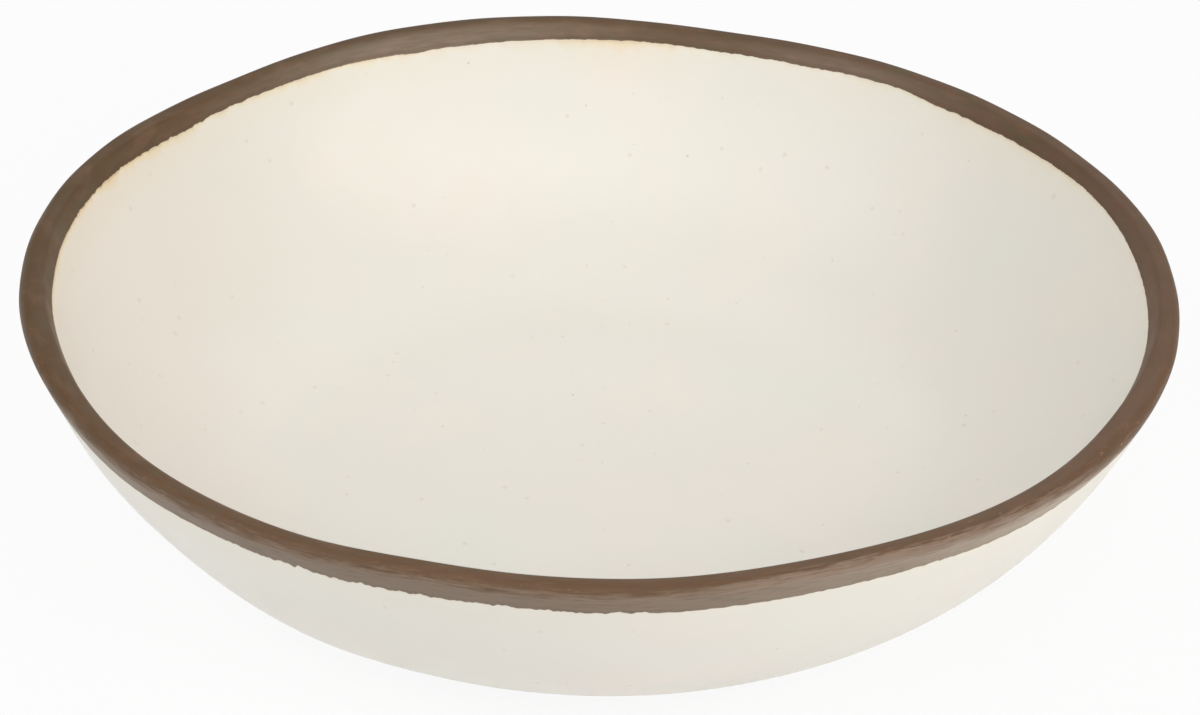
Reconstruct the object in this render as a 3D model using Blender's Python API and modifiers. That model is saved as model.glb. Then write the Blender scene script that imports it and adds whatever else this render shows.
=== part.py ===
"""A buffet bowl: a moulded cream shell with a brown band seated over its waved lip.

Metres, +Z up. The origin is the middle of the foot, on the surface that the bowl stands on.
Both pieces are turned from a profile of (radius, height) points, and their upper part is then
lifted and lowered a little round the bowl, so that the lip runs in slow waves like a thrown pot's.
"""

import math

import bpy
from mathutils import Vector

# The bowl's overall form
RIM_RADIUS = 0.160
RIM_HEIGHT = 0.078
FLOOR_RADIUS = 0.080
WALL = 0.006

# The wall's outer curve: how far it keeps the floor's line, and the steep line under the lip
FLOOR_LEAD = 0.044
RIM_LEAD = 0.029
RIM_SLOPE = math.radians(69)

# The lip's flat top has a soft outer corner and a crisper inner one
LIP_OUTER_ROUND = 0.0024
LIP_INNER_ROUND = 0.0012
LEAST_ROUND = 0.0004

# The brown band reaches this far below the lip's top, and fits a seat cut round the shell
BAND_OUTSIDE = 0.0067
BAND_INSIDE = 0.0055
BAND_THICKNESS = 0.0010
BAND_CLEARANCE = 0.0003

# The foot ring, which stands outside the flat floor's edge
FOOT_SETOUT = 0.010
FOOT_WIDTH = 0.006
FOOT_HEIGHT = 0.0035
FOOT_FILLET = 0.002
FOOT_EDGE_ROUND = 0.0008

# Waves of the lip: how many go round, how high each stands, and where its first crest is
RIM_WAVES = (
    (2, 0.0006, math.radians(-28)),
    (4, 0.0010, math.radians(47)),
    (5, 0.0003, math.radians(-134)),
    (7, 0.00035, math.radians(-19)),
)

# How finely the curves are cut into flats
TURN_STEPS = 80
WALL_CUTS = 13
CORNER_CUTS = 4
FOOT_CUTS = 3
MERGE_DISTANCE = 0.00005
SHARP_ANGLE = math.radians(35)

# The most of a side's length that a round at one of its ends may take
ROUND_SHARE = 0.45

# How often the search for a point on the wall's curve halves its interval
SEARCH_HALVINGS = 40

# Finishes: linear colour and roughness
CREAM = (0.82, 0.78, 0.68, 1.0)
CREAM_ROUGHNESS = 0.45
BROWN = (0.145, 0.088, 0.053, 1.0)
BROWN_ROUGHNESS = 0.5

# Levels and places that follow from the sizes above
FLOOR_TOP = FOOT_HEIGHT + WALL
FOOT_RADIUS = FLOOR_RADIUS + FOOT_SETOUT
SEAT_DEPTH = BAND_THICKNESS + BAND_CLEARANCE
STRAIGHT_DEPTH = max(BAND_OUTSIDE, BAND_INSIDE + WALL) + BAND_CLEARANCE

# The two directions of a profile's plane: away from the bowl's axis, and up along it
OUT = Vector((1.0, 0.0))
UP = Vector((0.0, 1.0))


def direction(angle):
    """Unit vector in the profile's plane, at this angle above the outward radius."""
    return math.cos(angle) * OUT + math.sin(angle) * UP


def arc(centre, radius, start, end, cuts):
    """Points along an arc, from one angle to the other."""
    turn = (end - start) / cuts
    return [centre + radius * direction(start + turn * i) for i in range(cuts + 1)]


def fillet(start, corner, end, cuts):
    """Points along a soft corner that leaves start and reaches end along the sides of the corner."""
    points = []
    for i in range(cuts + 1):
        t = i / cuts
        points.append((1 - t) ** 2 * start + 2 * t * (1 - t) * corner + t ** 2 * end)
    return points


def straight_wall(inset, height):
    """The point at this height on the straight wall under the lip, inset from its outer face."""
    corner = Vector((RIM_RADIUS - LIP_OUTER_ROUND, RIM_HEIGHT - LIP_OUTER_ROUND))
    base = corner + (LIP_OUTER_ROUND - inset) * direction(RIM_SLOPE - math.pi / 2)
    return base + Vector(((height - base.y) / math.tan(RIM_SLOPE), height - base.y))


def wall_controls():
    """The four control points of the outer wall's curve, from the floor's edge up to the straight."""
    low = Vector((FLOOR_RADIUS, FOOT_HEIGHT))
    high = straight_wall(0, RIM_HEIGHT - STRAIGHT_DEPTH)
    return low, low + FLOOR_LEAD * OUT, high - RIM_LEAD * direction(RIM_SLOPE), high


def wall_tangent(t):
    """The direction in which the wall's curve runs up at t, from 0 at the floor to 1 at the straight."""
    p0, p1, p2, p3 = wall_controls()
    s = 1 - t
    return (s * s * (p1 - p0) + 2 * s * t * (p2 - p1) + t * t * (p3 - p2)).normalized()


def wall_point(t, inset=0.0):
    """The point at t up the wall's curve, inset from its outer face along the normal."""
    p0, p1, p2, p3 = wall_controls()
    s = 1 - t
    point = s ** 3 * p0 + 3 * s * s * t * p1 + 3 * s * t * t * p2 + t ** 3 * p3
    tangent = wall_tangent(t)
    return point + inset * Vector((-tangent.y, tangent.x))


def wall_at_radius(radius):
    """How far up the outer wall's curve, from 0 to 1, it reaches this radius."""
    low, high = 0.0, 1.0
    for _ in range(SEARCH_HALVINGS):
        middle = (low + high) / 2
        if wall_point(middle).x < radius:
            low = middle
        else:
            high = middle
    return high


def lip_over(inset):
    """The lip's contour from the inner wall over the top to the outer wall, inset from its skin."""
    room = ROUND_SHARE * (WALL - 2 * inset)
    outer = min(max(LIP_OUTER_ROUND - inset, LEAST_ROUND), room)
    inner = min(max(LIP_INNER_ROUND - inset, LEAST_ROUND), room)
    outer_centre = straight_wall(inset + outer, RIM_HEIGHT - inset - outer)
    inner_centre = straight_wall(WALL - inset - inner, RIM_HEIGHT - inset - inner)
    up = math.pi / 2
    return (arc(inner_centre, inner, up + RIM_SLOPE, up, CORNER_CUTS)
            + arc(outer_centre, outer, up, RIM_SLOPE - up, CORNER_CUTS))


def foot_ring():
    """The underside's contour, from the outer wall down round the foot and into the recess."""
    leaving = wall_at_radius(FOOT_RADIUS + FOOT_FILLET)
    start = wall_point(leaving)
    tangent = wall_tangent(leaving)
    outer_corner = start - tangent * (FOOT_FILLET / tangent.x)
    inner_corner = Vector((FOOT_RADIUS - FOOT_WIDTH, FOOT_HEIGHT))
    outer_side = outer_corner - min(FOOT_FILLET, ROUND_SHARE * outer_corner.y) * UP
    inner_side = inner_corner - min(FOOT_FILLET, ROUND_SHARE * inner_corner.y) * UP
    edge = min(FOOT_EDGE_ROUND, ROUND_SHARE * FOOT_HEIGHT, ROUND_SHARE * FOOT_WIDTH)
    outer_edge = Vector((outer_corner.x - edge, edge))
    inner_edge = Vector((inner_corner.x + edge, edge))
    down = -math.pi / 2
    return leaving, (
        fillet(start, outer_corner, outer_side, FOOT_CUTS)
        + arc(outer_edge, edge, 0, down, FOOT_CUTS)
        + arc(inner_edge, edge, down, -math.pi, FOOT_CUTS)
        + fillet(inner_side, inner_corner, inner_corner - FOOT_FILLET * OUT, FOOT_CUTS)
    )


def shell_profile():
    """From the middle of the floor up the inside, over the seat for the band, and down to the base."""
    inside_seat = RIM_HEIGHT - BAND_INSIDE - BAND_CLEARANCE
    outside_seat = RIM_HEIGHT - BAND_OUTSIDE - BAND_CLEARANCE
    leaving, foot = foot_ring()
    inner_wall = [wall_point(i / WALL_CUTS, WALL) for i in range(WALL_CUTS + 1)]
    outer_wall = [wall_point(1 - (1 - leaving) * i / WALL_CUTS) for i in range(WALL_CUTS)]
    return (
        [Vector((0, FLOOR_TOP))]
        + inner_wall
        + [straight_wall(WALL, inside_seat), straight_wall(WALL - SEAT_DEPTH, inside_seat)]
        + lip_over(SEAT_DEPTH)
        + [straight_wall(SEAT_DEPTH, outside_seat), straight_wall(0, outside_seat)]
        + outer_wall
        + foot
        + [Vector((0, FOOT_HEIGHT))]
    )


def band_profile():
    """The band's closed section: over its skin from inside to outside, and back along its seat."""
    inside_edge = RIM_HEIGHT - BAND_INSIDE
    outside_edge = RIM_HEIGHT - BAND_OUTSIDE
    skin = [straight_wall(WALL, inside_edge)] + lip_over(0) + [straight_wall(0, outside_edge)]
    back = (
        [straight_wall(WALL - BAND_THICKNESS, inside_edge)]
        + lip_over(BAND_THICKNESS)
        + [straight_wall(BAND_THICKNESS, outside_edge)]
    )
    return skin + back[::-1]


def rim_lift(angle):
    """How far the lip stands above its mean height at this angle round the bowl."""
    return sum(height * math.cos(count * angle - crest) for count, height, crest in RIM_WAVES)


def wave_lip(mesh):
    """Lift each point with the lip's waves: not at all at the floor, and fully from the straight up."""
    full = RIM_HEIGHT - STRAIGHT_DEPTH
    for vertex in mesh.vertices:
        share = (vertex.co.z - FLOOR_TOP) / (full - FLOOR_TOP)
        share = min(max(share, 0.0), 1.0)
        share = share * share * (3 - 2 * share)
        vertex.co.z += share * rim_lift(math.atan2(vertex.co.y, vertex.co.x))


def turned(name, profile, closed, material, collection):
    """Turn a profile about the bowl's axis, wave its lip and shade it smooth."""
    count = len(profile)
    edges = [(i, (i + 1) % count) for i in range(count if closed else count - 1)]
    outline = bpy.data.meshes.new(name + "_profile")
    outline.from_pydata([(point.x, 0.0, point.y) for point in profile], edges, [])
    piece = bpy.data.objects.new(name, outline)
    collection.objects.link(piece)

    screw = piece.modifiers.new("Turn", 'SCREW')
    screw.axis = 'Z'
    screw.angle = 2 * math.pi
    screw.steps = TURN_STEPS
    screw.render_steps = TURN_STEPS
    screw.use_merge_vertices = True
    screw.merge_threshold = MERGE_DISTANCE

    evaluated = piece.evaluated_get(bpy.context.evaluated_depsgraph_get())
    mesh = bpy.data.meshes.new_from_object(evaluated)
    mesh.name = name
    piece.modifiers.clear()
    piece.data = mesh
    bpy.data.meshes.remove(outline)

    wave_lip(mesh)
    mesh.shade_smooth()
    mesh.set_sharp_from_angle(angle=SHARP_ANGLE)
    mesh.materials.append(material)
    return piece


def finish(name, colour, roughness):
    """A plain moulded finish of this colour."""
    material = bpy.data.materials.new(name)
    material.use_nodes = True
    shader = material.node_tree.nodes["Principled BSDF"]
    shader.inputs["Base Color"].default_value = colour
    shader.inputs["Roughness"].default_value = roughness
    shader.inputs["Metallic"].default_value = 0.0
    material.diffuse_color = colour
    return material


def clear_scene():
    """Take everything out of the opened scene."""
    for thing in list(bpy.data.objects):
        bpy.data.objects.remove(thing, do_unlink=True)


def main():
    """Build the bowl's two pieces in a collection of their own."""
    clear_scene()
    bowl = bpy.data.collections.new("buffet_bowl")
    bpy.context.scene.collection.children.link(bowl)
    cream = finish("cream_moulding", CREAM, CREAM_ROUGHNESS)
    brown = finish("brown_rim", BROWN, BROWN_ROUGHNESS)
    turned("bowl_shell", shell_profile(), False, cream, bowl)
    turned("rim_band", band_profile(), True, brown, bowl)


if __name__ == "__main__":
    main()
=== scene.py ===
"""Looks of the buffet bowl: its cream body, the brown on its lip, and a plain pale stage.

Both pieces are surfaces of revolution whose section is carried round the bowl and lifted with the
slow waves of the lip. Metres and +Z up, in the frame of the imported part.
"""

import math

import bpy
import numpy as np
from bpy.props import FloatProperty, FloatVectorProperty, IntProperty, PointerProperty
from mathutils import Matrix, Vector


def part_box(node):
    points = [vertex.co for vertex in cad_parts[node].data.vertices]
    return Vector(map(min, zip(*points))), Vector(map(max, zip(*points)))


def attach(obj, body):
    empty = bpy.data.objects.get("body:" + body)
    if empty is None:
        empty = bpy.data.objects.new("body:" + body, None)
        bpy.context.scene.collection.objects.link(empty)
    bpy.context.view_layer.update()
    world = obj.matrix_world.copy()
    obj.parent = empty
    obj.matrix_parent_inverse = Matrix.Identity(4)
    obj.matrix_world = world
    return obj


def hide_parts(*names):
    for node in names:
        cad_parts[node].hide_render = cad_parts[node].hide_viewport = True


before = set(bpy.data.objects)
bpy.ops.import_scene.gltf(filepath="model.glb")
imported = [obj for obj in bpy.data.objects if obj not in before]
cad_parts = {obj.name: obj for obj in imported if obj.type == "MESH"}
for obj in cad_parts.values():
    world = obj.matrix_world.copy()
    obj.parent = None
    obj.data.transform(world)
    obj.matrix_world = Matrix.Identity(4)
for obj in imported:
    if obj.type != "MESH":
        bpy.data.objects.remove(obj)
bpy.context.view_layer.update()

bl_info = {
    "name": "Buffet bowl looks",
    "version": (1, 0, 0),
    "blender": (4, 5, 0),
    "location": "View3D > Sidebar > Buffet bowl",
    "description": "Builds the cream bowl, the brown on its lip and a pale stage",
    "category": "Object",
}

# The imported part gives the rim's radius and where the floor is
RIM_RADIUS = round(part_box("rim_band")[1].x, 3)
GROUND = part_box("bowl_shell")[0].z

# Waves of the lip, as in the part: how many go round, their height in metres, and where the first
# crest is in degrees
LIP_WAVES = ((2, 0.0006, -28), (4, 0.0010, 47), (5, 0.0003, -134), (7, 0.00035, -19))

# Slow waves of the brown's two edges, in the same terms: deeper where the value is higher
INSIDE_EDGE_WAVES = (
    (2, 0.0004, -72), (3, 0.00034, -52), (6, 0.0002, -109), (7, 0.00026, -70), (10, 0.00032, 18))
OUTSIDE_EDGE_WAVES = ((2, 0.0005, 130), (4, 0.0004, 32), (9, 0.0005, -123), (12, 0.00044, 99))

# The lip's outer corner is a little rounder in some places than in others, in the same terms
CORNER_WAVES = ((3, 0.00016, 100), (8, 0.00022, 20), (13, 0.00018, -60), (29, 0.00008, 10))

# The honey tint under the brown is wider and narrower in turn, as a share of its width
HALO_WAVES = ((2, 0.24, 190), (5, 0.16, 100))

# Places round the bowl are given as their middle and reach in degrees, and a size
# Where the lip is wider than the wall, in metres
LIP_SWELLS = ((198, 18, 0.0013), (331, 13, 0.0015))

# Where the lip stands a little above its waves, or below them, in metres
LIP_RISES = (
    (20, 9, -0.0002), (35, 9, -0.0003), (54, 10, 0.0005), (78, 10, -0.0002), (96, 12, -0.0002),
    (123, 11, 0.0003), (144, 11, -0.0005), (163, 11, 0.0008), (229, 9, 0.0004), (236, 8, 0.0004),
    (254, 8, 0.0008), (268, 34, 0.0003), (276, 6, -0.0002), (288, 12, 0.0004), (293, 11, 0.0007),
    (304, 9, 0.0002))

# Where the wall stands out halfway up, or in, in metres
WALL_SWELLS = ((205, 8, 0.0010), (221, 6, -0.0004), (239, 8, 0.0009))

# Where the brown reaches a little further down inside and outside, or less far, in metres
INSIDE_EDGE_STEPS = (
    (46, 4, 0.0003), (52, 3, -0.0004), (57, 6, -0.0002), (64, 3, 0.0003), (83, 6, -0.0004),
    (114, 2, 0.0004), (122, 5, -0.0002), (142, 3, -0.0004), (145, 5, 0.0003),
    (159, 5, -0.0004), (165, 6, -0.0003), (185, 4, 0.0004))
OUTSIDE_EDGE_STEPS = (
    (215, 7, 0.0006), (229, 8, -0.0001), (241, 7, 0.0002), (278, 7, -0.0002), (290, 13, 0.0004),
    (302, 5, -0.0003), (315, 7, 0.0006))

# Where the brown's edges are ragged, as a share of the longest teeth
RAGGED_INSIDE = ((60, 75, 0.35), (157, 22, 0.8))
RAGGED_OUTSIDE = ((247, 14, 1.0), (272, 9, 0.4), (312, 26, 0.22))

# Where the cream under the brown is tinted with honey inside, from 0 to 1
HONEY_INSIDE = ((34, 28, 0.3), (89, 8, 0.6), (125, 16, 0.5), (163, 18, 1.0), (190, 12, 0.6))
HONEY_LEAST = 0.12
HONEY_OUTSIDE = 0.28

# How far the paler brown of the outside comes up over the lip's outer corner, or stays below it,
# in metres
SKIRT_REACH = (
    (8, 20, -0.0010), (90, 70, -0.0012), (186, 15, -0.0006), (250, 24, 0.0005),
    (292, 14, 0.0016), (313, 10, 0.0010))

# Where the brown is drier and paler, outside and inside, as a share
DRY_OUTSIDE = ((328, 24, 1.3), (298, 18, 0.24), (213, 14, 0.25))
DRY_INSIDE = ((112, 26, 0.5), (60, 14, 0.32))

# How far over the skin from the outer corner the dry inside starts and is full, in metres
DRY_INSIDE_FROM, DRY_INSIDE_FULL = 0.004, 0.009

# How far below the lip's top its swells start and are full, in metres
SWELL_FROM, SWELL_FULL = 0.030, 0.012

# Teeth of the brown's edge: the least and the most waves round the bowl of each kind, the shares of
# the smaller kinds, the mean of the noise without its sign, and what is left at calm places
COARSE_TEETH, FINE_TEETH, TREMBLE = (40, 130), (120, 300), (250, 600)
FINE_SHARE, TREMBLE_SHARE = 0.5, 0.12
MEAN_TOOTH = 0.8
CALM_SHARE = 0.15

# Patterns, in cells for each metre, and the move to a second drift. A stretch multiplies x, y and
# the distance over the lip, so a larger last value draws a pattern out along the rim
CREAM_DRIFT, BROWN_DRIFT, GLOSS_DRIFT = 22.0, 90.0, 45.0
SECOND_DRIFT = (3.1, 1.7, 2.3)
FINE_GRAIN, BROAD_GRAIN = 1400.0, 240.0
HONEY_NOISE, SCUFFS, PATCHES = 160.0, 320.0, 28.0
THREADS, DASHES, DOTS = 130.0, 420.0, 600.0
DRIFT_STRETCH, THREAD_STRETCH = (1.0, 1.0, 2.4), (1.0, 1.0, 14.0)
DASH_STRETCH, DOT_STRETCH = (1.0, 1.0, 9.0), (0.5, 0.5, 1.2)

# Specks: the noise that bends them, how far it does, and their sizes as shares of the radius
SPECK_WOBBLES, SPECK_OFFSET, SPECK_SIZES = 900.0, (0.0005, 0.0005, 0.0005), (0.45, 1.25)

# Flecks of the cream: cells for each metre, radius in metres, share of the cells, and strength
FLECKS = ((140.0, 0.00085, 0.5, 0.15), (110.0, 0.00045, 0.6, 0.34))
DOT_RADIUS, DOT_SHARE = 0.00036, 0.9

# The finishes, in metres but for the leans: a pair says where a thing starts and where it is full
# The first three place the painted light on the cream: a warm bounce painted on the inside of the
# left wall, with its lean, side and facing
PAINTED_BOUNCE_LEAN, PAINTED_BOUNCE_SIDE, PAINTED_BOUNCE_FACING = 0.5, (-0.05, -0.14), (0.0, -0.03)
HONEY_FADE, SCUFF_FADE, RELIEF = 0.014, (0.0002, 0.0009), 0.0004
FRONT_LEAN, FRONT_FADE = -0.35, (0.02, -0.14)
ASH_FADE, DOTTED_SIDE = (-0.02, 0.15), (0.06, 0.12)
DRY_INNER, THICK_INNER = (-0.0040, -0.0055), (-0.006, -0.004)
THICK_FROM, THICK_TO, THIN_EDGE = (0.0002, 0.0006), (0.0008, 0.0022), 0.0003

# The ragged line between the lip's top and its outside: how far it wanders, how wide the change is
# where the brown is moist and where it is dry, and how far beside it each thing is full and ends
LINE_WANDER, SKIRT_WIDTHS = 0.0010, (0.0019, 0.0028)
LINE_BESIDE, DASH_BESIDE, DOT_BESIDE = (0.0001, 0.0007), (0.0004, 0.0020), (0.0008, 0.0024)
RUSTY_FROM, RUSTY_BELOW, RUSTY_BESIDE = (0.0006, 0.0014), 0.0010, (0.0004, 0.0018)

# The stage: places, sizes and colours of the lights, how much of its brightness is the floor's own,
# and the heights between which the surroundings go from the horizon to overhead
WHITE = (1.0, 1.0, 1.0)
SOFT_LIGHTS = (
    ("key", (1.20, -0.78, 0.83), 1.0, (1.0, 0.985, 0.965)),
    ("fill", (-1.10, -0.53, 1.06), 1.3, (0.96, 0.98, 1.0)),
    ("front", (0.20, -1.10, 1.35), 1.2, WHITE),
    ("back", (0.15, 0.95, 1.30), 1.3, WHITE))
FLOOR_GLOW = 0.9
HORIZON_FADE = (0.06, 0.34)
SENSOR_WIDTH = 36.0

# How finely the meshes are cut: round the bowl, along the section, and in points of the lip's inner
# and outer corner for the brown's skin, its back and the seat
BODY_ANGLES, BROWN_ANGLES = 880, 2300
FLOOR_RINGS, WALL_RINGS, STRAIGHT_RINGS, FOOT_RINGS, BASE_RINGS = 10, 27, 7, 5, 8
SKIN_POINTS, BACK_POINTS, SEAT_POINTS = (5, 8), (3, 4), (4, 5)
EDGE_POINTS = 6
STAGE_CELLS = 8
SEARCH_STEPS = 4001
LEAST_ROUND = 0.0004
SHARP_ANGLE = math.radians(40)


def measure(name, description, default, unit='LENGTH'):
    """A number, in its unit, that can be changed in the panel."""
    return FloatProperty(name=name, description=description, default=default, unit=unit)


def shade(name, description, default):
    """A linear colour that can be changed in the panel."""
    return FloatVectorProperty(
        name=name, description=description, default=default, subtype='COLOR', min=0.0, max=1.0)


class BowlForm(bpy.types.PropertyGroup):
    """The bowl's section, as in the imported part."""

    rim_radius: measure("Rim radius", "Radius over the lip", RIM_RADIUS)
    rim_height: measure("Rim height", "Mean height of the lip", 0.078)
    floor_radius: measure("Floor radius", "Radius of the flat floor", 0.080)
    wall: measure("Wall", "Thickness of the wall", 0.006)
    wall_thinning: measure(
        "Wall thinning", "How much thinner the wall is halfway down, outside", 0.0006)
    floor_lead: measure("Floor lead", "How far the wall's curve keeps the floor's line", 0.044)
    rim_lead: measure("Rim lead", "How far the wall's curve keeps the line under the lip", 0.029)
    rim_slope: measure("Rim slope", "Slope of the wall under the lip", math.radians(69), 'ROTATION')
    straight_depth: measure("Straight depth", "Depth of the straight wall under the lip", 0.0118)
    lip_outer_round: measure("Outer corner", "Round of the lip's outer corner", 0.0024)
    lip_inner_round: measure("Inner corner", "Round of the lip's inner corner", 0.0022)
    foot_setout: measure("Foot set-out", "How far the foot stands outside the floor's edge", 0.010)
    foot_width: measure("Foot width", "Width of the foot ring", 0.006)
    foot_height: measure("Foot height", "Depth of the recess inside the foot ring", 0.0035)
    foot_fillet: measure("Foot fillet", "Soft corner between the foot and the base", 0.002)
    foot_edge: measure("Foot edge", "Round of the foot's lower edges", 0.0008)


class BrownForm(bpy.types.PropertyGroup):
    """The brown over the lip: where it ends, how thick it lies and how ragged its edges are."""

    inside: measure("Inside depth", "Mean depth of the brown inside the bowl", 0.0055)
    outside: measure("Outside depth", "Mean depth of the brown outside the bowl", 0.0067)
    proud: measure("Proud", "How far the brown stands proud of the cream", 0.00012)
    sunk: measure("Sunk", "How far the brown's thin edges bite into the cream", 0.00005)
    thickness: measure("Thickness", "Thickness of the brown over its seat", 0.0010)
    clearance: measure("Clearance", "Gap between the brown and its seat", 0.0003)
    seat_inside: measure("Seat inside", "Depth of the seat inside the bowl", 0.0026)
    seat_outside: measure("Seat outside", "Depth of the seat outside the bowl", 0.0038)
    feather: measure("Feather", "Width over which the brown thins towards its edge", 0.0008)
    tooth_inside: measure("Teeth inside", "Length of the ragged teeth inside the bowl", 0.00025)
    tooth_outside: measure("Teeth outside", "Length of the ragged teeth outside the bowl", 0.00055)
    halo_inside: measure("Halo inside", "Width of the honey tint under the brown, inside", 0.0026)
    halo_outside: measure(
        "Halo outside", "Width of the honey tint under the brown, outside", 0.0006)
    seed: IntProperty(name="Seed", description="Seed of the ragged edges", default=11)


class BowlFinish(bpy.types.PropertyGroup):
    """Colours of the two finishes."""

    cream: shade("Cream", "Main colour of the body", (0.818, 0.785, 0.708))
    # Warm cream is also the tint of the bounce light painted on the left inside
    warm_cream: shade("Warm cream", "Rosier parts of the body", (0.842, 0.780, 0.706))
    cool_cream: shade("Cool cream", "Cooler patches of the body", (0.802, 0.785, 0.708))
    brown_fleck: shade("Brown fleck", "Warm flecks in the cream", (0.42, 0.20, 0.14))
    grey_fleck: shade("Grey fleck", "Cool flecks in the cream", (0.38, 0.36, 0.32))
    honey: shade("Honey", "Tint of the cream under the brown", (0.82, 0.67, 0.42))
    amber: shade("Amber", "Tint of the cream right against the brown", (0.55, 0.37, 0.19))
    scuff: shade("Scuff", "Grey rubbed into the foot", (0.50, 0.47, 0.42))
    brown: shade("Brown", "Main colour of the lip", (0.111, 0.061, 0.027))
    ash_brown: shade("Ash brown", "Greyer brown of the right side", (0.131, 0.073, 0.042))
    rust: shade("Rust", "Redder patches of the lip", (0.157, 0.085, 0.046))
    olive: shade("Olive", "Greener patches of the lip", (0.106, 0.074, 0.035))
    skirt: shade("Skirt", "Paler, drier brown outside the lip", (0.236, 0.178, 0.131))
    corner: shade("Corner", "Reddish brown at the outer corner", (0.285, 0.195, 0.140))
    dry_brown: shade("Dry brown", "Palest places of the lip", (0.50, 0.42, 0.335))
    # Dark brown also paints the shade on the corner line towards the back
    dark_brown: shade("Dark brown", "Where the brown is thickest", (0.085, 0.052, 0.032))
    worn_brown: shade("Worn brown", "Where the brown is rubbed", (0.36, 0.235, 0.155))


class BowlStage(bpy.types.PropertyGroup):
    """Camera, light and floor."""

    elevation: measure(
        "Elevation", "Camera's height above the horizon", math.radians(31.393), 'ROTATION')
    roll: measure(
        "Roll", "Camera's turn about its own line of sight", math.radians(1.529), 'ROTATION')
    distance: measure("Distance", "From the camera to the point it aims at", 0.8)
    aim_side: measure(
        "Aim to the right", "Where the camera aims, right of the bowl's axis", 0.00058)
    aim_height: measure("Aim height", "Height at which the camera aims", 0.04394)
    lens: measure("Lens", "Focal length on a 36 mm wide sensor", 83.86, 'CAMERA')
    floor_half: measure("Floor reach", "Half the width of the floor", 6.0)
    floor_colour: shade("Floor", "Colour of the floor", (0.88, 0.88, 0.88))
    key_power: measure("Key light", "Power of the soft light on the right", 11.5, 'POWER')
    fill_power: measure("Fill light", "Power of the soft light on the left", 11.7, 'POWER')
    front_power: measure("Front light", "Power of the soft light over the camera", 9.8, 'POWER')
    back_power: measure("Back light", "Power of the soft light behind and above", 7.3, 'POWER')
    surround: measure("Surroundings", "Light from the white horizon", 0.77, 'NONE')
    overhead: measure("Overhead", "Brightness overhead as a share of the horizon's", 0.12, 'NONE')


# Curves of the section, as arrays of (radius, height) points

def points_of(radius, height):
    """Pairs (radius, height) from two arrays or numbers that fit each other's shape."""
    return np.stack(np.broadcast_arrays(radius, height), axis=-1).astype(float)


def smooth_step(value):
    """0 below 0, 1 above 1, and 3 v^2 - 2 v^3 between."""
    value = np.clip(value, 0.0, 1.0)
    return value * value * (3.0 - 2.0 * value)


def wave_sum(angle, waves):
    """Sum of height * cos(count * angle - crest) over the waves, with crests in degrees."""
    count, height, crest = (np.array(column)[:, None] for column in zip(*waves))
    return (height * np.cos(count * angle[None, :] - np.radians(crest))).sum(axis=0)


def arc(centre, radius, start, end, count):
    """Circle: centre + radius * (cos a, sin a), for angles a from start to end."""
    angle = np.linspace(start, end, count)
    return centre + radius * points_of(np.cos(angle), np.sin(angle))


def soft_corner(start, corner, end, count):
    """Quadratic curve (1 - t)^2 start + 2 t (1 - t) corner + t^2 end, for t from 0 to 1."""
    t = np.linspace(0.0, 1.0, count)[:, None]
    return (1 - t) ** 2 * start + 2 * t * (1 - t) * corner + t ** 2 * end


def straight_wall(form, inset, height):
    """The straight wall under the lip: a line at the rim's slope that touches the lip's outer
    round, moved in by inset, so radius = touch radius + (height - touch height) / tan(slope)."""
    reach = form.lip_outer_round - inset
    touch_radius = form.rim_radius - form.lip_outer_round + reach * math.sin(form.rim_slope)
    touch_height = form.rim_height - form.lip_outer_round - reach * math.cos(form.rim_slope)
    return points_of(touch_radius + (height - touch_height) / math.tan(form.rim_slope), height)


def wall_curve(form, t, inset):
    """Cubic curve of the wall from the floor's edge to the straight, at t from 0 to 1, moved in
    along its normal (-tangent height, tangent radius) by inset."""
    t = np.asarray(t, float)[:, None]
    low = points_of(form.floor_radius, form.foot_height)
    high = straight_wall(form, 0.0, form.rim_height - form.straight_depth)
    after_low = low + form.floor_lead * points_of(1.0, 0.0)
    before_high = high - form.rim_lead * points_of(
        math.cos(form.rim_slope), math.sin(form.rim_slope))
    s = 1 - t
    point = s ** 3 * low + 3 * s * s * t * after_low + 3 * s * t * t * before_high + t ** 3 * high
    tangent = s * s * (after_low - low) + 2 * s * t * (before_high - after_low)
    tangent = tangent + t * t * (high - before_high)
    tangent /= np.linalg.norm(tangent, axis=1, keepdims=True)
    return point + np.reshape(inset, (-1, 1)) * points_of(-tangent[:, 1], tangent[:, 0])


def lip_over(form, inset, outer_round, inner_count, outer_count):
    """The lip from the inner wall over its top to the outer wall, inset from its skin: an arc
    for the inner corner and one for the outer, whose round may differ at each angle round the
    bowl. The result has one row of points for each value of outer_round."""
    outer = np.maximum(np.atleast_1d(outer_round) - inset, LEAST_ROUND)[:, None]
    inner = max(form.lip_inner_round - inset, LEAST_ROUND)
    top = form.rim_height - inset
    inner_centre = straight_wall(form, form.wall - inset - inner, top - inner)
    outer_centre = straight_wall(form, inset + outer, top - outer)
    upright = math.pi / 2
    inner_arc = arc(inner_centre, inner, upright + form.rim_slope, upright, inner_count)
    outer_arc = arc(outer_centre, outer[:, :, None], upright, form.rim_slope - upright, outer_count)
    inner_arc = np.broadcast_to(inner_arc, (len(outer), inner_count, 2))
    return np.concatenate((inner_arc, outer_arc), axis=1)


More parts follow.
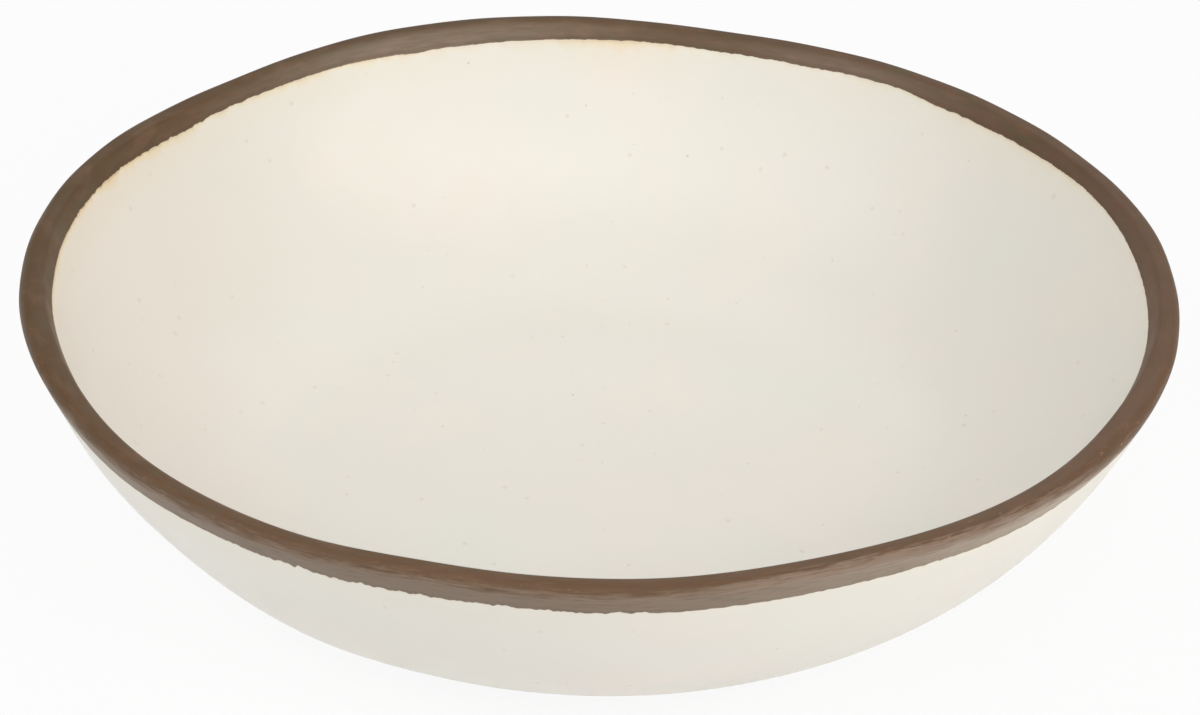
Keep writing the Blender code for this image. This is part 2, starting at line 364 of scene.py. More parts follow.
def foot_ring(form, count):
    """The underside from the outer wall round the foot to the recess: a soft corner, a round for
    each lower edge of the ring, and a soft corner into the recess. Also how far up the wall's
    curve it starts."""
    steps = np.linspace(0.0, 1.0, SEARCH_STEPS)
    wall = wall_curve(form, steps, 0.0)
    foot_radius = form.floor_radius + form.foot_setout
    leaving = np.interp(foot_radius + form.foot_fillet, wall[:, 0], steps)
    start, ahead = wall_curve(form, [leaving, leaving + steps[1]], 0.0)
    tangent = (ahead - start) / (ahead - start)[0]
    outer_corner = start - form.foot_fillet * tangent
    inner_corner = points_of(foot_radius - form.foot_width, form.foot_height)
    down = points_of(0.0, -1.0)
    edge = form.foot_edge
    outer_side = outer_corner + min(form.foot_fillet, outer_corner[1] / 2) * down
    inner_side = inner_corner + min(form.foot_fillet, inner_corner[1] / 2) * down
    inward = form.foot_fillet * points_of(-1.0, 0.0)
    return leaving, np.concatenate((
        soft_corner(start, outer_corner, outer_side, count),
        arc(points_of(outer_corner[0] - edge, edge), edge, 0.0, -math.pi / 2, count),
        arc(points_of(inner_corner[0] + edge, edge), edge, -math.pi / 2, -math.pi, count),
        soft_corner(inner_side, inner_corner, inner_corner + inward, count),
    ))


def body_section(form, brown):
    """The body's section from the middle of the floor, up the inside, over the seat under the
    brown, down the outside and round the foot to the middle of the base. The outside is moved in
    by thinning * sin(pi * share of the way down)."""
    floor_top = form.foot_height + form.wall
    straight_foot = form.rim_height - form.straight_depth
    seat = brown.thickness + brown.clearance
    inside_step = form.rim_height - brown.seat_inside
    outside_step = form.rim_height - brown.seat_outside
    leaving, foot = foot_ring(form, FOOT_RINGS)
    floor = points_of(np.linspace(0.0, form.floor_radius, FLOOR_RINGS, endpoint=False), floor_top)
    rise = np.linspace(straight_foot, inside_step, STRAIGHT_RINGS)[1:]
    fall = np.linspace(outside_step, straight_foot, STRAIGHT_RINGS)[:-1]
    base = points_of(np.linspace(foot[-1][0], 0.0, BASE_RINGS)[1:], form.foot_height)
    down = np.linspace(0.0, 1.0, WALL_RINGS)[:-1]
    outer_wall = wall_curve(
        form, 1.0 + (leaving - 1.0) * down, form.wall_thinning * np.sin(math.pi * down))
    return np.concatenate((
        floor,
        wall_curve(form, np.linspace(0.0, 1.0, WALL_RINGS), form.wall),
        straight_wall(form, form.wall, rise),
        straight_wall(form, form.wall - seat, inside_step)[None],
        lip_over(form, seat, form.lip_outer_round, *SEAT_POINTS)[0],
        straight_wall(form, seat, outside_step)[None],
        straight_wall(form, 0.0, fall),
        outer_wall,
        foot,
        base,
    ))


def round_noise(angle, low, high, draw):
    """Smooth noise round the bowl with a spread of 1: a sum of equal cosines whose wave counts
    run from low to high, with drawn crests."""
    count = np.arange(low, high)
    crest = draw.uniform(-180.0, 180.0, len(count))
    return wave_sum(angle, zip(count, np.full(len(count), math.sqrt(2.0 / len(count))), crest))


def swell_sum(angle, swells):
    """Sum of size * exp(-(offset / reach)^2) over the places, with offsets in degrees."""
    middle, reach, size = (np.array(column)[:, None] for column in zip(*swells))
    offset = (np.degrees(angle)[None, :] - middle + 180.0) % 360.0 - 180.0
    return (size * np.exp(-(offset / reach) ** 2)).sum(axis=0)


def ragged_edge(angle, ragged, seed):
    """Teeth of the brown's edge at each angle. A tooth is mean - |noise|, which has a sharp tip
    wherever smooth noise crosses zero. Coarse and fine teeth and a tremble add up, longest at
    the ragged places, and average to about 0."""
    draw = np.random.default_rng(seed)
    coarse = MEAN_TOOTH - np.abs(round_noise(angle, *COARSE_TEETH, draw))
    fine = MEAN_TOOTH - np.abs(round_noise(angle, *FINE_TEETH, draw))
    tremble = round_noise(angle, *TREMBLE, draw)
    teeth = coarse + FINE_SHARE * fine + TREMBLE_SHARE * tremble
    return (CALM_SHARE + swell_sum(angle, ragged)) * teeth


def edge_depths(brown, angle):
    """Columns with the depth of the brown's edge at each angle, inside and outside the bowl: the
    mean, slow waves, steps and teeth. An edge stays level where the lip rises."""
    return [
        (mean + wave_sum(angle, waves) + swell_sum(angle, steps + LIP_RISES)
         + tooth * ragged_edge(angle, ragged, seed))[:, None]
        for mean, waves, steps, tooth, ragged, seed in (
            (brown.inside, INSIDE_EDGE_WAVES, INSIDE_EDGE_STEPS,
             brown.tooth_inside, RAGGED_INSIDE, brown.seed),
            (brown.outside, OUTSIDE_EDGE_WAVES, OUTSIDE_EDGE_STEPS,
             brown.tooth_outside, RAGGED_OUTSIDE, brown.seed + 1))]


# Meshes

def carried_round(form, section, angle):
    """Carry a section round the bowl: (r cos a, r sin a, z + share * lift(a)), with r moved out by
    the wall's belly and in by the lip's swell. Lift is the lip's waves and rises, and share goes
    smoothly from 0 at the floor to 1 at the straight wall. With u for the way up between these,
    the belly is 4 u (1 - u) * wall swell(a). The lip's swell is across * near * lip swell(a):
    across goes from 0 on the outer skin to 1 on the inner one, and near from 0 to 1 towards the
    lip. The section has a point for each row, or for each angle and row."""
    section = np.broadcast_to(section, (len(angle),) + section.shape[-2:])
    radius, height = np.moveaxis(section, -1, 0)
    floor_top = form.foot_height + form.wall
    up_wall = (height - floor_top) / (form.rim_height - form.straight_depth - floor_top)
    up_wall = np.clip(up_wall, 0.0, 1.0)
    share = smooth_step(up_wall)
    belly = 4.0 * up_wall * (1.0 - up_wall) * swell_sum(angle, WALL_SWELLS)[:, None]
    near = smooth_step((height - form.rim_height + SWELL_FROM) / (SWELL_FROM - SWELL_FULL))
    skin = straight_wall(form, 0.0, height)[..., 0]
    across = np.clip((skin - radius) * math.sin(form.rim_slope) / form.wall, 0.0, 1.0)
    radius = radius + belly - across * near * swell_sum(angle, LIP_SWELLS)[:, None]
    turn = angle[:, None]
    lift = (wave_sum(angle, LIP_WAVES) + swell_sum(angle, LIP_RISES))[:, None]
    return np.stack(
        (radius * np.cos(turn), radius * np.sin(turn), height + share * lift), axis=-1)


def grid_quads(angles, rows, rows_wrap):
    """Corners of the quads of a grid that wraps round its angles, and over its rows if asked."""
    turn = np.arange(angles)[:, None]
    row = np.arange(rows if rows_wrap else rows - 1)[None, :]
    next_turn = (turn + 1) % angles
    next_row = (row + 1) % rows
    return np.stack(
        (turn * rows + row, next_turn * rows + row,
         next_turn * rows + next_row, turn * rows + next_row), axis=-1).reshape(-1, 4)


def mesh_of(name, points, quads, triangles, attributes):
    """A smooth mesh from arrays of points, quads and triangles, with attributes on its points."""
    mesh = bpy.data.meshes.new(name)
    corners = np.concatenate((quads.ravel(), triangles.ravel()))
    sizes = np.repeat((4, 3), (len(quads), len(triangles)))
    starts = np.concatenate(([0], np.cumsum(sizes)[:-1]))
    mesh.vertices.add(len(points))
    mesh.loops.add(len(corners))
    mesh.polygons.add(len(sizes))
    mesh.vertices.foreach_set("co", points.astype(np.float32).ravel())
    mesh.loops.foreach_set("vertex_index", corners.astype(np.int32))
    mesh.polygons.foreach_set("loop_start", starts.astype(np.int32))
    mesh.update(calc_edges=True)
    for label, values in attributes.items():
        layer = mesh.attributes.new(label, 'FLOAT_VECTOR', 'POINT')
        layer.data.foreach_set("vector", values.astype(np.float32).ravel())
    mesh.shade_smooth()
    mesh.set_sharp_from_angle(angle=SHARP_ANGLE)
    if mesh.validate():
        raise RuntimeError(name + " has a face that doesn't close")
    return mesh


def body_mesh(form, brown):
    """The body: its section carried round, with one point at each pole. The attribute halo holds
    the depth below the brown's edge, and the width and strength of the honey tint there."""
    angle = np.linspace(-math.pi, math.pi, BODY_ANGLES, endpoint=False)
    section = body_section(form, brown)
    rings = carried_round(form, section[1:-1], angle)
    rows = rings.shape[1]
    poles = np.array(((0, 0, section[0][1]), (0, 0, section[-1][1])))
    points = np.concatenate((rings.reshape(-1, 3), poles))

    lip_row = np.argmax(section[1:-1, 1])
    is_inside = (np.arange(rows) < lip_row)[None, :]
    below_lip = form.rim_height - section[None, 1:-1, 1]
    edge = np.where(is_inside, *edge_depths(brown, angle))
    wander = 1.0 + wave_sum(angle, HALO_WAVES)[:, None]
    width = np.where(is_inside, brown.halo_inside, brown.halo_outside) * wander
    honey = HONEY_LEAST + swell_sum(angle, HONEY_INSIDE)[:, None]
    strength = np.where(is_inside, honey, HONEY_OUTSIDE)
    halo = np.stack(np.broadcast_arrays(below_lip - edge, width, strength), axis=-1).reshape(-1, 3)
    halo = np.concatenate((halo, np.ones((2, 3))))

    first = np.arange(len(angle)) * rows
    following = np.roll(first, -1)
    top = np.stack((np.full_like(first, len(points) - 2), first, following), axis=-1)
    bottom = np.stack(
        (np.full_like(first, len(points) - 1), following + rows - 1, first + rows - 1), axis=-1)
    quads = grid_quads(len(angle), rows, False)[:, ::-1]
    return mesh_of("cream_body", points, quads, np.concatenate((top, bottom)), {"halo": halo})


def brown_mesh(form, brown):
    """The brown over the lip: a closed section carried round the bowl. Its skin stands proud of
    the cream and thins over the feather's width to ragged edges that bite into the cream, and its
    back lies in the seat. The attribute flow holds x, y and the distance over the skin from the
    lip's outer corner; the attribute coat holds the distance from the nearer ragged edge, how dry
    the brown is and how far the outside's paler brown comes up over the corner."""
    angle = np.linspace(-math.pi, math.pi, BROWN_ANGLES, endpoint=False)
    corner_round = form.lip_outer_round + wave_sum(angle, CORNER_WAVES)
    lip = lip_over(form, -brown.proud, corner_round, *SKIN_POINTS)
    run = np.linspace(0.0, 1.0, EDGE_POINTS) ** 2
    rise = brown.proud * np.sqrt(1.0 - (1.0 - run) ** 2) - brown.sunk * (1.0 - run)
    feather = brown.feather * run

    in_depth, out_depth = edge_depths(brown, angle)
    inside = straight_wall(form, form.wall + rise, form.rim_height - in_depth + feather)
    outside = straight_wall(form, -rise, form.rim_height - out_depth + feather)[:, ::-1]
    skin = np.concatenate((inside, lip, outside), axis=1)

    inside_step = form.rim_height - brown.seat_inside
    outside_step = form.rim_height - brown.seat_outside
    back = np.concatenate((
        straight_wall(form, brown.sunk, outside_step)[None],
        straight_wall(form, brown.thickness, outside_step)[None],
        lip_over(form, brown.thickness, form.lip_outer_round, *BACK_POINTS)[0][::-1],
        straight_wall(form, form.wall - brown.thickness, inside_step)[None],
        straight_wall(form, form.wall - brown.sunk, inside_step)[None],
    ))
    back = np.broadcast_to(back, (len(angle),) + back.shape)
    section = np.concatenate((skin, back), axis=1)
    points = carried_round(form, section, angle)
    rows = points.shape[1]

    step = np.linalg.norm(np.diff(skin, axis=1), axis=-1)
    over = np.concatenate((np.zeros((len(angle), 1)), np.cumsum(step, axis=1)), axis=1)
    corner_row = EDGE_POINTS + SKIN_POINTS[0] + SKIN_POINTS[1] // 2
    from_corner = over - over[:, corner_row:corner_row + 1]
    to_edge = np.minimum(over, over[:, -1:] - over)
    hidden = ((0, 0), (0, back.shape[1]))
    flow = np.stack((points[..., 0], points[..., 1], np.pad(from_corner, hidden)), axis=-1)
    well_in = smooth_step(
        (-from_corner - DRY_INSIDE_FROM) / (DRY_INSIDE_FULL - DRY_INSIDE_FROM))
    dry = np.where(from_corner > 0.0, swell_sum(angle, DRY_OUTSIDE)[:, None],
                   swell_sum(angle, DRY_INSIDE)[:, None] * well_in)
    reach = np.broadcast_to(swell_sum(angle, SKIRT_REACH)[:, None], points.shape[:2])
    coat = np.stack((np.pad(to_edge, hidden), np.pad(dry, hidden), reach), axis=-1)
    quads = grid_quads(len(angle), rows, True)[:, ::-1]
    no_triangles = np.zeros((0, 3), int)
    return mesh_of("brown_lip", points.reshape(-1, 3), quads, no_triangles,
                   {"flow": flow.reshape(-1, 3), "coat": coat.reshape(-1, 3)})


# Nodes

def add(tree, kind, inputs=None, **settings):
    """Add a node, set its properties, and link or fill its inputs by name or number. A colour
    gets full alpha."""
    made = tree.nodes.new(kind)
    for name, value in settings.items():
        setattr(made, name, value)
    for socket, value in (inputs or {}).items():
        if isinstance(value, bpy.types.NodeSocket):
            tree.links.new(value, made.inputs[socket])
        else:
            is_colour = made.inputs[socket].type == 'RGBA'
            made.inputs[socket].default_value = (*value, 1.0) if is_colour else value
    return made


def calc(tree, operation, first, second=0.0):
    """One operation on one or two values."""
    return add(tree, 'ShaderNodeMath', {0: first, 1: second}, operation=operation).outputs[0]


def plus(tree, first, second):
    """The sum of two values."""
    return calc(tree, 'ADD', first, second)


def times(tree, first, second):
    """The product of two values."""
    return calc(tree, 'MULTIPLY', first, second)


def stretch(tree, vector, scale):
    """A vector times a scale for each of its axes."""
    return add(tree, 'ShaderNodeVectorMath', {0: vector, 1: scale}, operation='MULTIPLY').outputs[0]


def ramp(tree, value, low, high, to_low=0.0, to_high=1.0):
    """A value that runs smoothly from to_low at low to to_high at high."""
    return add(tree, 'ShaderNodeMapRange', {
        "Value": value, "From Min": low, "From Max": high, "To Min": to_low, "To Max": to_high,
    }, interpolation_type='SMOOTHSTEP').outputs["Result"]


def beside(tree, value, low, high, most=1.0):
    """The most while a value is within low of 0, and smoothly less up to high on both sides."""
    return ramp(tree, calc(tree, 'ABSOLUTE', value), low, high, most, 0.0)


def blend(tree, share, first, second):
    """A colour between two, by share."""
    return add(tree, 'ShaderNodeMix', {0: share, 6: first, 7: second}, data_type='RGBA').outputs[2]


def layered(tree, colour, layers):
    """A colour under layers, from the lowest up, each with its share and its tone."""
    for share, tone in layers:
        colour = blend(tree, share, colour, tone)
    return colour


def noise(tree, vector, scale, detail=2.0, roughness=0.5):
    """Soft noise from 0 to 1."""
    return add(tree, 'ShaderNodeTexNoise', {
        "Vector": vector, "Scale": scale, "Detail": detail, "Roughness": roughness,
    }).outputs[0]


def attribute(tree, name):
    """The three values of one of the piece's own attributes."""
    read = add(tree, 'ShaderNodeAttribute', attribute_name=name, attribute_type='GEOMETRY')
    return read.outputs["Vector"]


def parts_of(tree, vector):
    """The three values of a vector."""
    return add(tree, 'ShaderNodeSeparateXYZ', {0: vector}).outputs


def new_group(name, inputs, outputs):
    """An empty shader node group with these sockets, and its ends."""
    group = bpy.data.node_groups.new(name, 'ShaderNodeTree')
    for way, sockets in (('INPUT', inputs), ('OUTPUT', outputs)):
        for label, kind in sockets:
            group.interface.new_socket(name=label, in_out=way, socket_type='NodeSocket' + kind)
    return group, add(group, 'NodeGroupInput').outputs, add(group, 'NodeGroupOutput').inputs


def slow_drift():
    """Colour that drifts slowly between a main tone and two others."""
    group, given, out = new_group(
        "slow_drift",
        (("Vector", "Vector"), ("Frequency", "Float"), ("Main", "Color"),
         ("First", "Color"), ("Second", "Color")),
        (("Color", "Color"),))
    moved = add(group, 'ShaderNodeVectorMath', {0: given["Vector"], 1: SECOND_DRIFT}).outputs[0]
    colour = given["Main"]
    for place, tone in ((given["Vector"], given["First"]), (moved, given["Second"])):
        share = ramp(group, noise(group, place, given["Frequency"], 3.0), 0.45, 0.75)
        colour = blend(group, share, colour, tone)
    group.links.new(colour, out["Color"])
    return group


def scattered_specks():
    """Scattered specks: one in each cell of a 3D pattern, kept in a share of the cells. Mask is
    the speck and Pick a value from 0 to 1 that is the speck's own."""
    group, given, out = new_group(
        "scattered_specks",
        (("Vector", "Vector"), ("Frequency", "Float"), ("Radius", "Float"), ("Share", "Float")),
        (("Mask", "Float"), ("Pick", "Float")))
    wobble = add(group, 'ShaderNodeTexNoise', {
        "Vector": given["Vector"], "Scale": SPECK_WOBBLES}).outputs[1]
    offset = stretch(group, wobble, SPECK_OFFSET)
    place = add(group, 'ShaderNodeVectorMath', {0: given["Vector"], 1: offset}).outputs[0]
    cells = add(group, 'ShaderNodeTexVoronoi', {"Vector": place, "Scale": given["Frequency"]})
    draw = add(group, 'ShaderNodeSeparateColor', {0: cells.outputs["Color"]}).outputs
    size = times(group, given["Radius"], given["Frequency"])
    size = times(group, size, ramp(group, draw[1], 0.0, 1.0, *SPECK_SIZES))
    ratio = calc(group, 'DIVIDE', cells.outputs["Distance"], size)
    speck = ramp(group, ratio, 0.55, 1.0, 1.0, 0.0)
    kept = calc(group, 'LESS_THAN', draw[0], given["Share"])
    group.links.new(times(group, speck, kept), out["Mask"])
    group.links.new(draw[2], out["Pick"])
    return group


def moulded_grain():
    """The fine, slightly uneven skin of a moulded piece: Height for a bump, and Gloss, a slow
    value from 0 to 1 for the roughness."""
    group, given, out = new_group(
        "moulded_grain", (("Vector", "Vector"),), (("Height", "Float"), ("Gloss", "Float")))
    fine = noise(group, given["Vector"], FINE_GRAIN, 2.0)
    broad = noise(group, given["Vector"], BROAD_GRAIN, 3.0)
    group.links.new(plus(group, times(group, fine, 0.35), broad), out["Height"])
    group.links.new(noise(group, given["Vector"], GLOSS_DRIFT, 4.0, 0.6), out["Gloss"])
    return group


def place_group(tree, maker, inputs):
    """Put a shared group into a material with its own values. Its maker has its name and makes
    it once."""
    group = bpy.data.node_groups.get(maker.__name__) or maker()
    return add(tree, 'ShaderNodeGroup', inputs, node_tree=group).outputs


def new_material(name):
    """A material with a Principled shader, and its tree."""
    material = bpy.data.materials.new(name)
    material.use_nodes = True
    return material, material.node_tree, material.node_tree.nodes["Principled BSDF"]


def dress(tree, shader, colour, roughness, height, strength):
    """Give a shader its colour, its roughness and a fine relief of this strength."""
    bump = add(tree, 'ShaderNodeBump', {
        "Strength": strength, "Distance": RELIEF, "Height": height})
    tree.links.new(colour, shader.inputs["Base Color"])
    tree.links.new(roughness, shader.inputs["Roughness"])
    tree.links.new(bump.outputs["Normal"], shader.inputs["Normal"])


def cream_material(finish):
    """Warm cream moulding: slow drift of tone, a warm bounce of light painted on the left inside,
    sparse flecks of two sizes, a honey tint under the brown's edge, grey scuffs on the foot and a
    fine grain."""
    material, tree, shader = new_material("flecked_cream")
    where = add(tree, 'ShaderNodeTexCoord').outputs
    place = where["Object"]
    side, depth, height = parts_of(tree, place)
    grain = place_group(tree, moulded_grain, {"Vector": place})
    colour = place_group(tree, slow_drift, {
        "Vector": place, "Frequency": CREAM_DRIFT, "Main": finish.cream,
        "First": finish.warm_cream, "Second": finish.cool_cream})["Color"]
    # Painted light: a warm bounce painted as a warm cream tint on the inward-facing left wall
    left = ramp(tree, plus(tree, side, times(tree, depth, PAINTED_BOUNCE_LEAN)), *PAINTED_BOUNCE_SIDE, 0.0, 0.9)
    facing = add(tree, 'ShaderNodeVectorMath', {0: place, 1: where["Normal"]},
                 operation='DOT_PRODUCT').outputs["Value"]
    layers = [(times(tree, left, ramp(tree, facing, *PAINTED_BOUNCE_FACING)), finish.warm_cream)]

    for frequency, radius, share, strength in FLECKS:
        speck = place_group(tree, scattered_specks, {
            "Vector": place, "Frequency": frequency, "Radius": radius, "Share": share})
        tone = blend(tree, speck["Pick"], finish.brown_fleck, finish.grey_fleck)
        layers.append((times(tree, speck["Mask"], strength), tone))

    below, width, strength = parts_of(tree, attribute(tree, "halo"))
    uneven = ramp(tree, noise(tree, place, HONEY_NOISE, 3.0), 0.3, 0.7, 0.4, 1.6)
    reach = calc(tree, 'DIVIDE', below, times(tree, width, uneven))
    for distance, end, most, tone in (
            (below, HONEY_FADE, 0.24, finish.honey), (reach, 1.0, 0.85, finish.honey),
            (reach, 0.30, 0.50, finish.amber)):
        layers.append((times(tree, strength, ramp(tree, distance, 0.0, end, most, 0.0)), tone))

    rubbed = times(tree, ramp(tree, height, *SCUFF_FADE, 1.0, 0.0),
                   ramp(tree, noise(tree, place, SCUFFS, 4.0, 0.7), 0.48, 0.62))
    layers.append((times(tree, rubbed, 0.35), finish.scuff))
    gloss = ramp(tree, grain["Gloss"], 0.3, 0.7, 0.40, 0.50)
    gloss = plus(tree, gloss, times(tree, rubbed, 0.25))
    dress(tree, shader, layered(tree, colour, layers), gloss, grain["Height"], 0.10)
    return material


def brown_material(finish):
    """Earth brown over the lip: rust and olive drift, redder towards the front and greyer on the
    right, with streaks along the rim. A ragged line near the outer corner parts the lip's top
    from a paler outside. The line is dark where the brown lies thick, and darker towards the back
    with painted shade; it is reddish where the outside comes up over the corner, and dashes and
    dots are rubbed into the brown beside it. Dry places are the palest. Towards both ragged edges
    the brown is darker where it lies thick, and then thin and worn."""
    material, tree, shader = new_material("streaked_brown")
    place = add(tree, 'ShaderNodeTexCoord').outputs["Object"]
    flow = attribute(tree, "flow")
    side, depth, over = parts_of(tree, flow)
    to_edge, dry, reach = parts_of(tree, attribute(tree, "coat"))
    grain = place_group(tree, moulded_grain, {"Vector": place})

    front = ramp(tree, plus(tree, depth, times(tree, side, FRONT_LEAN)), *FRONT_FADE)
    main = blend(tree, ramp(tree, side, *ASH_FADE), finish.brown, finish.ash_brown)
    colour = place_group(tree, slow_drift, {
        "Vector": stretch(tree, flow, DRIFT_STRETCH), "Frequency": BROWN_DRIFT, "Main": main,
        "First": finish.rust, "Second": finish.olive})["Color"]

    thread = noise(tree, stretch(tree, flow, THREAD_STRETCH), THREADS, 4.0, 0.65)
    wander = ramp(tree, thread, 0.25, 0.75, -LINE_WANDER, LINE_WANDER)
    outer = plus(tree, plus(tree, over, reach), wander)
    below = calc(tree, 'DIVIDE', outer, ramp(tree, dry, 0.0, 1.0, *SKIRT_WIDTHS))
    rusty = times(tree, ramp(tree, reach, *RUSTY_FROM),
                  beside(tree, plus(tree, outer, -RUSTY_BELOW), *RUSTY_BESIDE, 0.62))
    # Painted shade: the dark corner line is partly thick brown, and its strength rises from 0.1 at
    # the front to 0.4 at the back as painted shade
    line = times(tree, beside(tree, outer, *LINE_BESIDE), ramp(tree, front, 0.0, 1.0, 0.4, 0.1))

    parched = times(tree, dry, ramp(tree, thread, 0.2, 0.7, 0.48, 0.72))
    bare = calc(tree, 'MAXIMUM', ramp(tree, below, 0.4, 1.5), ramp(tree, over, *DRY_INNER))
    streaky = times(tree, ramp(tree, front, 0.0, 1.0, 0.35, 1.0),
                    ramp(tree, dry, 0.0, 1.0, 1.0, 0.5))

    patchy = ramp(tree, noise(tree, place, PATCHES, 2.0), 0.42, 0.62, 0.06, 0.28)
    scratch = noise(tree, stretch(tree, flow, DASH_STRETCH), DASHES, 3.0, 0.6)
    dashes = times(tree, ramp(tree, scratch, 0.58, 0.70), beside(tree, outer, *DASH_BESIDE))
    dashes = times(tree, dashes, plus(tree, patchy, times(tree, dry, 0.15)))
    speck = place_group(tree, scattered_specks, {
        "Vector": stretch(tree, flow, DOT_STRETCH), "Frequency": DOTS, "Radius": DOT_RADIUS,
        "Share": DOT_SHARE})
    right = times(tree, front, ramp(tree, side, *DOTTED_SIDE, 0.0, 0.35))
    dots = times(tree, speck["Mask"], plus(tree, patchy, right))
    worn = calc(tree, 'MAXIMUM', dashes, times(tree, dots, beside(tree, outer, *DOT_BESIDE)))

    thick = times(tree, ramp(tree, to_edge, *THICK_FROM), ramp(tree, to_edge, *THICK_TO, 1.0, 0.0))
    thick = times(tree, thick, ramp(tree, over, *THICK_INNER, 0.30, 0.10))
    colour = layered(tree, colour, (
        (times(tree, front, 0.5), finish.rust),
        (ramp(tree, below, -0.3, 1.4, 0.0, 0.90), finish.skirt),
        (rusty, finish.corner),
        (times(tree, parched, bare), finish.dry_brown),
        (times(tree, streaky, ramp(tree, thread, 0.52, 0.30, 0.0, 0.30)), finish.dark_brown),
        (times(tree, streaky, ramp(tree, thread, 0.55, 0.80, 0.0, 0.22)), finish.worn_brown),
        (line, finish.dark_brown),
        (worn, finish.worn_brown),
        (thick, finish.dark_brown),
        (ramp(tree, to_edge, 0.0, THIN_EDGE, 0.30, 0.0), finish.worn_brown)))

    gloss = ramp(tree, grain["Gloss"], 0.3, 0.7, 0.46, 0.58)
    gloss = plus(tree, gloss, times(tree, worn, 0.2))
    relief = plus(tree, times(tree, grain["Height"], 0.5), times(tree, thread, streaky))
    shader.inputs["Specular IOR Level"].default_value = 0.25
    dress(tree, shader, colour, gloss, relief, 0.15)
    return material


def seen_directly(tree):
    """1 for what the camera sees straight, in a gloss or through glass, and 0 for other light."""
    path = add(tree, 'ShaderNodeLightPath').outputs
    seen = calc(tree, 'MAXIMUM', path["Is Camera Ray"], path["Is Glossy Ray"])
    return calc(tree, 'MAXIMUM', seen, path["Is Transmission Ray"])


def floor_material(stage):
    """A pale floor. Where it is seen directly, part of its brightness is its own, so that it
    shows white in the light and keeps the bowl's soft shadow. From below it is clear."""
    material, tree, shader = new_material("pale_floor")
    place = add(tree, 'ShaderNodeTexCoord').outputs["Object"]
    tone = ramp(tree, noise(tree, place, 3.0), 0.2, 0.8, 0.985, 1.0)
    colour = add(tree, 'ShaderNodeMix', {0: 1.0, 6: stage.floor_colour, 7: tone},
                 data_type='RGBA', blend_type='MULTIPLY').outputs[2]
    tree.links.new(colour, shader.inputs["Base Color"])
    shader.inputs["Roughness"].default_value = 0.9
    glow = add(tree, 'ShaderNodeEmission', {"Color": WHITE}).outputs[0]
    own = times(tree, seen_directly(tree), FLOOR_GLOW)
    lit = add(tree, 'ShaderNodeMixShader', {0: own, 1: shader.outputs[0], 2: glow}).outputs[0]
    clear = add(tree, 'ShaderNodeBsdfTransparent').outputs[0]
    below = add(tree, 'ShaderNodeNewGeometry').outputs["Backfacing"]
    both = add(tree, 'ShaderNodeMixShader', {0: below, 1: lit, 2: clear}).outputs[0]
    tree.links.new(both, tree.nodes["Material Output"].inputs["Surface"])
    return material


def floor_mesh(stage):
    """The floor: a grid in the plane of the ground, x and y from -half to half."""
    count = STAGE_CELLS + 1
    side = np.linspace(-stage.floor_half, stage.floor_half, count)
    x, y = np.meshgrid(side, side)
    points = np.stack((x, y, np.full_like(x, GROUND)), axis=-1).reshape(-1, 3)
    cell = np.arange(STAGE_CELLS)
    start = (cell[:, None] * count + cell[None, :]).ravel()
    quads = np.stack((start, start + 1, start + count + 1, start + count), axis=-1)
    return mesh_of("pale_floor", points, quads, np.zeros((0, 3), int), {})


def add_object(name, data):
    """An object for this data, in the scene."""
    made = bpy.data.objects.new(name, data)
    bpy.context.scene.collection.objects.link(made)
    return made


def add_soft_light(name, place, aim, size, power, colour):
    """A square soft light that looks at a point."""
    lamp = bpy.data.lights.new(name, 'AREA')
    lamp.shape = 'SQUARE'
    lamp.size = size
    lamp.energy = power
    lamp.color = colour
    made = add_object(name, lamp)
    made.location = place
    made.rotation_euler = (Vector(aim) - Vector(place)).to_track_quat('-Z', 'Y').to_euler()
    return made


def studio_world(stage):
    """Surroundings that show white at the horizon and dimmer overhead, and light the bowl less."""
    world = bpy.data.worlds.new("studio")
    world.use_nodes = True
    tree = world.node_tree
    tree.nodes.clear()
    up = parts_of(tree, add(tree, 'ShaderNodeTexCoord').outputs["Generated"])[2]
    level = ramp(tree, up, *HORIZON_FADE, 1.0, stage.overhead)
    shown = ramp(tree, seen_directly(tree), 0.0, 1.0, stage.surround, 1.0)
    background = add(tree, 'ShaderNodeBackground', {
        "Color": WHITE, "Strength": times(tree, level, shown)})
    output = add(tree, 'ShaderNodeOutputWorld')
    tree.links.new(background.outputs[0], output.inputs["Surface"])
    return world


def photo_camera(stage):
    """A camera at the photograph's angle: it stands back from its aim along the line of sight,
    and is turned a little about that line."""
    camera = bpy.data.cameras.new("photo_camera")
    camera.sensor_width = SENSOR_WIDTH
    camera.lens = stage.lens
    aim = Vector((stage.aim_side, 0.0, stage.aim_height))
    back = Vector((0.0, -math.cos(stage.elevation), math.sin(stage.elevation)))
    made = add_object("photo_camera", camera)
    made.matrix_world = (
        Matrix.Translation(aim + stage.distance * back)
        @ Matrix.Rotation(math.pi / 2 - stage.elevation, 4, 'X')
        @ Matrix.Rotation(stage.roll, 4, 'Z'))
    return made


# Operators

class BUFFETBOWL_OT_body(bpy.types.Operator):
    """Build the cream body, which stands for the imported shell"""

    bl_idname = "buffet_bowl.body"
    bl_label = "Cream body"

    def execute(self, context):
        scene = context.scene
        body = add_object("cream_body", body_mesh(scene.bowl_form, scene.bowl_brown))
        body.data.materials.append(cream_material(scene.bowl_finish))
        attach(body, "root")
        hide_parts("bowl_shell")
        return {'FINISHED'}


class BUFFETBOWL_OT_brown(bpy.types.Operator):
    """Build the brown over the lip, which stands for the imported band"""

    bl_idname = "buffet_bowl.brown"
    bl_label = "Brown lip"

    def execute(self, context):
        scene = context.scene
        lip = add_object("brown_lip", brown_mesh(scene.bowl_form, scene.bowl_brown))
        lip.data.materials.append(brown_material(scene.bowl_finish))
        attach(lip, "root")
        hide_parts("rim_band")
        return {'FINISHED'}


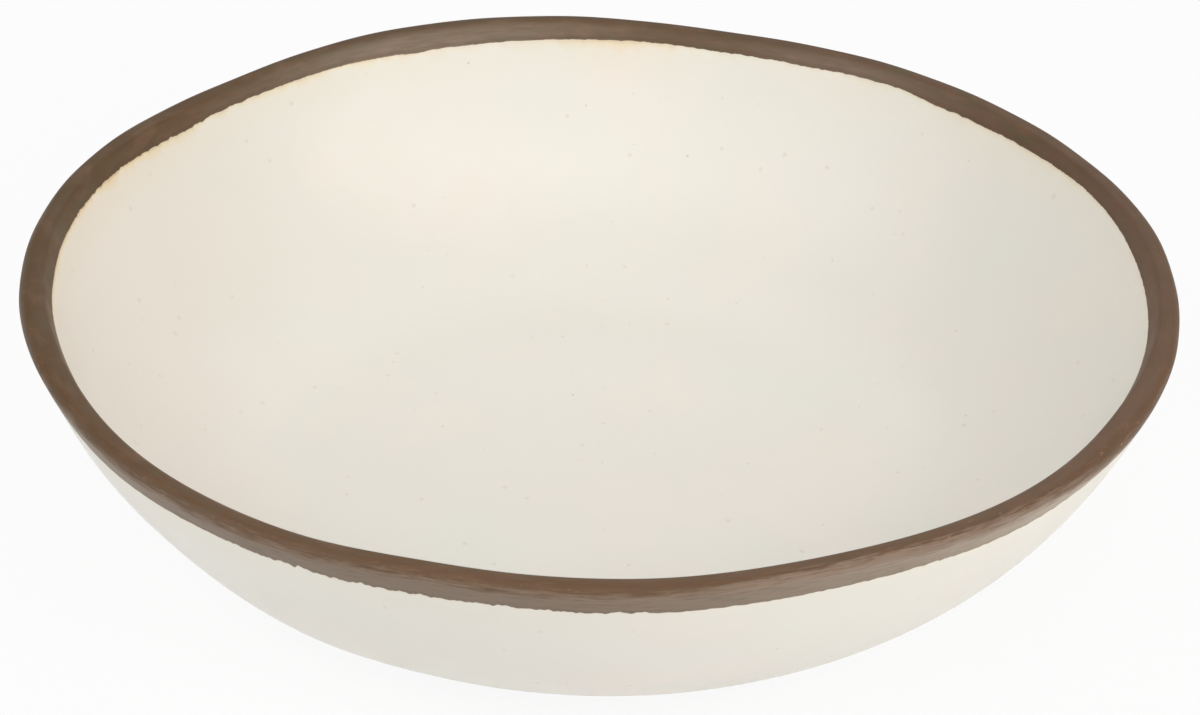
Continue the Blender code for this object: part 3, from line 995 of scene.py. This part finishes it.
class BUFFETBOWL_OT_stage(bpy.types.Operator):
    """Set the floor, the lights and the camera"""

    bl_idname = "buffet_bowl.stage"
    bl_label = "Stage"

    def execute(self, context):
        scene = context.scene
        stage = scene.bowl_stage
        floor = add_object("pale_floor", floor_mesh(stage))
        floor.data.materials.append(floor_material(stage))
        middle = (0.0, 0.0, scene.bowl_form.rim_height / 2)
        for name, place, size, colour in SOFT_LIGHTS:
            power = getattr(stage, name + "_power")
            add_soft_light(name + "_light", place, middle, size, power, colour)
        scene.world = studio_world(stage)
        scene.camera = photo_camera(stage)
        scene.view_settings.view_transform = 'Standard'
        return {'FINISHED'}


class BUFFETBOWL_PT_looks(bpy.types.Panel):
    """The bowl's sizes, colours and builders"""

    bl_idname = "BUFFETBOWL_PT_looks"
    bl_label = "Buffet bowl"
    bl_space_type = 'VIEW_3D'
    bl_region_type = 'UI'
    bl_category = "Buffet bowl"

    def draw(self, context):
        for label, settings, operators in (
            ("Body", context.scene.bowl_form, (BUFFETBOWL_OT_body,)),
            ("Brown", context.scene.bowl_brown, (BUFFETBOWL_OT_brown,)),
            ("Colours", context.scene.bowl_finish, ()),
            ("Stage", context.scene.bowl_stage, (BUFFETBOWL_OT_stage,)),
        ):
            box = self.layout.box()
            box.label(text=label)
            for name in settings.__annotations__:
                box.prop(settings, name)
            for operator in operators:
                box.operator(operator.bl_idname)


SETTINGS = {
    "bowl_form": BowlForm,
    "bowl_brown": BrownForm,
    "bowl_finish": BowlFinish,
    "bowl_stage": BowlStage,
}
CLASSES = (
    *SETTINGS.values(),
    BUFFETBOWL_OT_body,
    BUFFETBOWL_OT_brown,
    BUFFETBOWL_OT_stage,
    BUFFETBOWL_PT_looks,
)


def register():
    """Register the classes and put their settings on the scene."""
    for kind in CLASSES:
        bpy.utils.register_class(kind)
    for name, kind in SETTINGS.items():
        setattr(bpy.types.Scene, name, PointerProperty(type=kind))


def unregister():
    """Take the settings off the scene and the classes out."""
    for name in SETTINGS:
        delattr(bpy.types.Scene, name)
    for kind in reversed(CLASSES):
        bpy.utils.unregister_class(kind)


def main():
    """Build the bowl and its stage."""
    register()
    bpy.ops.buffet_bowl.body()
    bpy.ops.buffet_bowl.brown()
    bpy.ops.buffet_bowl.stage()
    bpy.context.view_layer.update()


if __name__ == "__main__":
    main()
